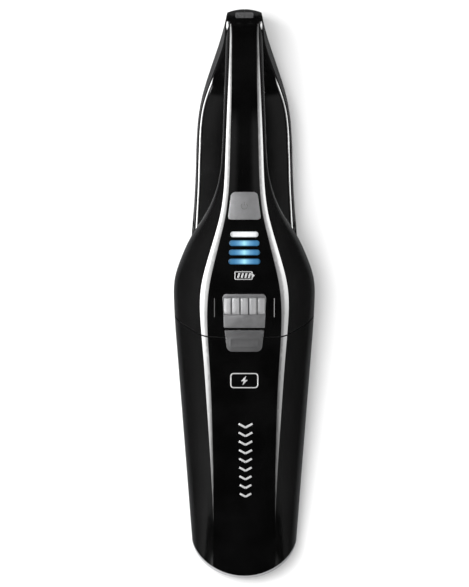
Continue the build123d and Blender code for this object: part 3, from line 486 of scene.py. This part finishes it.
def ring_piece(name, outer, inner, drape, material, body, lift=0.05, thickness=0.06):
    """Closed slab between two outlines; the inner one is matched to the outer one by angle."""
    cx = sum(p[0] for p in outer) / len(outer)
    cy = sum(p[1] for p in outer) / len(outer)
    matched = []
    for x, y in outer:
        best = min(inner, key=lambda q: abs(math.atan2(q[1] - cy, q[0] - cx) - math.atan2(y - cy, x - cx)))
        matched.append(best)
    count, verts = len(outer), []
    for ring, height in ((outer, lift - thickness), (outer, lift),
                         (matched, lift), (matched, lift - thickness)):
        for x, y in ring:
            verts.append((x * MM, y * MM, drape.height(x * MM, y * MM) + height * MM))
    faces = []
    for k in range(4):
        for i in range(count):
            j = (i + 1) % count
            a, b = k * count, ((k + 1) % 4) * count
            faces.append((a + i, a + j, b + j, b + i))
    return piece_from(name, verts, faces, material, body)


def power_symbol(button, materials):
    """Generic on-off symbol on the power button."""
    cx, cy, radius = 0.0, 66.3, 2.3
    broken = arc_points(cx, cy, radius, 130, 410, 33)
    film("power_ring", stroke_quads(broken, 0.5), button, materials["ink_dark"], "button")
    bar = [(cx - 0.25, cy + 0.5), (cx + 0.25, cy + 0.5), (cx + 0.25, cy + 3.1), (cx - 0.25, cy + 3.1)]
    film("power_bar", [dense(bar)], button, materials["ink_dark"], "button")


def cup_marks(cup, materials):
    """Plain bolt in a rounded frame, and a row of airflow chevrons below it, where the printed marks sit."""
    cy = -64.5
    frame_outer, frame_inner = round_rect(0, cy, 21.0, 11.4, 2.4), round_rect(0, cy, 19.4, 9.8, 1.7)
    ring_piece("bolt_frame", frame_outer, frame_inner, cup, materials["ink_white"], "cup")
    bolt = [(1.4, 3.6), (-2.6, -0.5), (-0.5, -0.5), (-1.4, -3.6), (2.6, 0.5), (0.5, 0.5)]
    film("bolt", [dense([(x, cy + y) for x, y in bolt])], cup, materials["ink_white"], "cup")
    chevrons = []
    for k in range(9):
        y, half = -97.0 - 6.6 * k, 5.2 - 0.12 * k
        for side in (-1, 1):
            line = [(0.9, y - half * 0.55), (0.9 + side * half, y)]
            chevrons.append(stroke(line if side == 1 else line[::-1], 1.5))
    film("airflow_chevrons", [dense(c) for c in chevrons], cup, materials["ink_white"], "cup")


# ---------------------------------------------------------------- stage
def area_light(name, position, target, size, power, colour=(1, 1, 1), spread=180):
    data = bpy.data.lights.new(name, "AREA")
    data.shape = "RECTANGLE"
    data.size, data.size_y = size
    data.energy = power
    data.color = colour
    data.spread = math.radians(spread)
    lamp = bpy.data.objects.new(name, data)
    lamp.location = position
    lamp.rotation_euler = (Vector(target) - Vector(position)).to_track_quat("-Z", "Y").to_euler()
    bpy.context.collection.objects.link(lamp)
    return lamp


def reflection_card(name, side, peak, stops_y, stops_z, low=6, high=55, front=-0.95, rear=0.95):
    """Softbox beside the object, seen only in reflections; it fades out towards all four edges."""
    reach, rows, columns = 1.35, 14, 24
    verts, faces = [], []
    for i in range(rows + 1):
        angle = math.radians(low + (high - low) * i / rows)
        for k in range(columns + 1):
            y = front + (rear - front) * k / columns
            verts.append((side * reach * math.cos(angle), y, reach * math.sin(angle)))
    for i in range(rows):
        for k in range(columns):
            a = i * (columns + 1) + k
            faces.append((a, a + 1, a + columns + 2, a + columns + 1))
    mesh = bpy.data.meshes.new(name)
    mesh.from_pydata(verts, [], faces)
    material = bpy.data.materials.new(name)
    material.use_nodes = True
    tree = material.node_tree
    tree.nodes.clear()
    coords = tree.nodes.new("ShaderNodeTexCoord").outputs["Object"]
    axes = tree.nodes.new("ShaderNodeSeparateXYZ")
    tree.links.new(coords, axes.inputs["Vector"])
    heights = [reach * math.sin(math.radians(a)) for a in (low, high)]
    factors = []
    for socket, (start, end), stops in (
            ("Y", (front, rear), stops_y),
            ("Z", (heights[0], heights[1]), stops_z)):
        spread = tree.nodes.new("ShaderNodeMapRange")
        spread.inputs["From Min"].default_value, spread.inputs["From Max"].default_value = start, end
        tree.links.new(axes.outputs[socket], spread.inputs["Value"])
        node = tree.nodes.new("ShaderNodeValToRGB")
        node.color_ramp.interpolation = "EASE"
        while len(node.color_ramp.elements) < len(stops):
            node.color_ramp.elements.new(0.5)
        for element, (position, value) in zip(node.color_ramp.elements, stops):
            element.position, element.color = position, (value, value, value, 1)
        tree.links.new(spread.outputs["Result"], node.inputs["Fac"])
        factors.append(node.outputs["Color"])
    product = tree.nodes.new("ShaderNodeMath")
    product.operation = "MULTIPLY"
    tree.links.new(factors[0], product.inputs[0])
    tree.links.new(factors[1], product.inputs[1])
    glow = tree.nodes.new("ShaderNodeMath")
    glow.operation = "MULTIPLY"
    tree.links.new(product.outputs["Value"], glow.inputs[0])
    glow.inputs[1].default_value = peak
    emission = tree.nodes.new("ShaderNodeEmission")
    tree.links.new(glow.outputs["Value"], emission.inputs["Strength"])
    output = tree.nodes.new("ShaderNodeOutputMaterial")
    tree.links.new(emission.outputs["Emission"], output.inputs["Surface"])
    mesh.materials.append(material)
    card = bpy.data.objects.new(name, mesh)
    bpy.context.collection.objects.link(card)
    card.visible_camera = card.visible_diffuse = card.visible_shadow = False
    return card


def world(diffuse, glossy):
    """White surroundings for the floor, dark ones for reflections."""
    sky = bpy.data.worlds.new("studio")
    bpy.context.scene.world = sky
    sky.use_nodes = True
    tree = sky.node_tree
    background = tree.nodes["Background"]
    path = tree.nodes.new("ShaderNodeLightPath")
    mix = tree.nodes.new("ShaderNodeMix")
    mix.inputs["A"].default_value, mix.inputs["B"].default_value = diffuse, glossy
    tree.links.new(path.outputs["Is Glossy Ray"], mix.inputs["Factor"])
    tree.links.new(mix.outputs["Result"], background.inputs["Strength"])
    background.inputs["Color"].default_value = (1, 1, 1, 1)


FLOOR_MIRROR = (0.005, 0.09, 0.6)  # the floor's brightness in reflections: far out, beside, ahead of the nose
FLOOR_FADE = (0.055, 0.10)  # distances from the middle over which it falls from beside to far out
FLOOR_PATCH = (0.0, -0.192, 0.05)  # that brighter patch: centre and radius


def floor():
    verts = [(-3, -3, -0.0002), (3, -3, -0.0002), (3, 3, -0.0002), (-3, 3, -0.0002)]
    mesh = bpy.data.meshes.new("floor")
    mesh.from_pydata(verts, [], [(0, 1, 2, 3)])
    s = Shader("paper", Specular_IOR_Level=0.1)
    paper = s.ramp(s.noise(6, 4), [(0.35, (0.93, 0.93, 0.93)), (0.65, (0.95, 0.95, 0.95))])
    mapping = s.tree.nodes.new("ShaderNodeMapping")
    mapping.inputs["Location"].default_value = [-c / FLOOR_PATCH[2] for c in FLOOR_PATCH[:2]] + [0]
    mapping.inputs["Scale"].default_value = [1 / FLOOR_PATCH[2]] * 3
    s.link(s.coords, mapping.inputs["Vector"])
    patch = s.tree.nodes.new("ShaderNodeTexGradient")
    patch.gradient_type = "SPHERICAL"
    s.link(mapping.outputs["Vector"], patch.inputs["Vector"])
    beside = s.ramp(s.spread(s.maths("ABSOLUTE", s.axis("X")), 0.0, 1.0, *FLOOR_FADE),
                    [(0.0, grey(FLOOR_MIRROR[1])), (1.0, grey(FLOOR_MIRROR[0]))])
    ahead = s.ramp(patch.outputs["Fac"], [(0.0, grey(0)), (0.16, grey(1))])
    dim = s.mix(ahead, beside, grey(FLOOR_MIRROR[2]))
    mirrored = s.tree.nodes.new("ShaderNodeLightPath").outputs["Is Glossy Ray"]
    s.link(s.mix(mirrored, paper, dim), s.bsdf.inputs["Base Color"])
    s.roughness(s.noise(40, 4), 0.85, 0.95)
    s.relief(s.noise(400, 4), 0.02, 0.3)
    mesh.materials.append(s.material)
    obj = bpy.data.objects.new("floor", mesh)
    bpy.context.collection.objects.link(obj)


def camera():
    """Looks straight down from far off; its frame is 469 by 587 at 0.7528 mm to the pixel."""
    scale, height = 0.7528, 8.0
    data = bpy.data.cameras.new("camera")
    data.sensor_width = 36
    data.lens = 36 * (height - 0.06) / (587 * scale * MM)
    data.clip_end = 50
    view = bpy.data.objects.new("camera", data)
    view.location = ((234.5 - 244.3) * scale * MM, (294.65 - 293.5) * scale * MM, height)
    bpy.context.collection.objects.link(view)
    bpy.context.scene.camera = view


camera()
materials = finishes()
materials["ink_white"] = print_ink("ink_white", (0.37, 0.37, 0.37), (0.45, 0.45, 0.45))
materials["ink_grey"] = print_ink("ink_grey", (0.28, 0.28, 0.28), (0.36, 0.36, 0.36))
materials["ink_dark"] = print_ink("ink_dark", (0.10, 0.10, 0.10), (0.14, 0.14, 0.14))
dress_nodes(materials)
for name, width in (("power_button", 0.45), ("release_slider", 0.22), ("cup_catch_tab", 0.35),
                    ("led_lens_white", 0.12), ("led_lens_blue", 0.12)):
    soften(NODES[name], width)
return_spring(materials)
battery_picture(Drape("top_cover"), materials)
power_symbol(Drape("power_button"), materials)
cup_marks(Drape("cup_shell"), materials)

world(0.78, 0.004)
floor()
key = area_light("key", (-0.62, 0.2, 2.6), (0, 0, 0), (0.8, 1.2), 62)
key.visible_glossy = False
soft_top = [(0.0, 0), (0.12, 1), (0.45, 1), (0.62, 0.45), (0.78, 0.07), (1.0, 0)]
left_fade = [(0.0, 0), (0.1, 0.2), (0.2, 0.7), (0.32, 1), (0.72, 1), (0.9, 0.5), (1.0, 0)]
right_fade = [(0.0, 0), (0.1, 0.15), (0.22, 0.5), (0.4, 0.8), (0.5, 1), (0.62, 0.9), (0.8, 0.5), (1.0, 0)]
reflection_card("card_left", -1, 24, left_fade, soft_top)
reflection_card("card_right", 1, 16, right_fade, soft_top)
reflection_card("card_high", -1, 12, [(0.0, 0), (0.3, 1), (0.7, 1), (1.0, 0)], [(0.0, 0), (0.5, 1), (1.0, 0)],
                53, 68, -0.85, 0.06)
wing_fade = [(0.0, 0), (0.3, 1), (0.7, 1), (1.0, 0)]
for side in (-1, 1):
    reflection_card(f"card_wing_{side}", side, 0.2, wing_fade, wing_fade, 66, 85, -0.25, 0.5)
bpy.context.scene.view_settings.view_transform = "Standard"
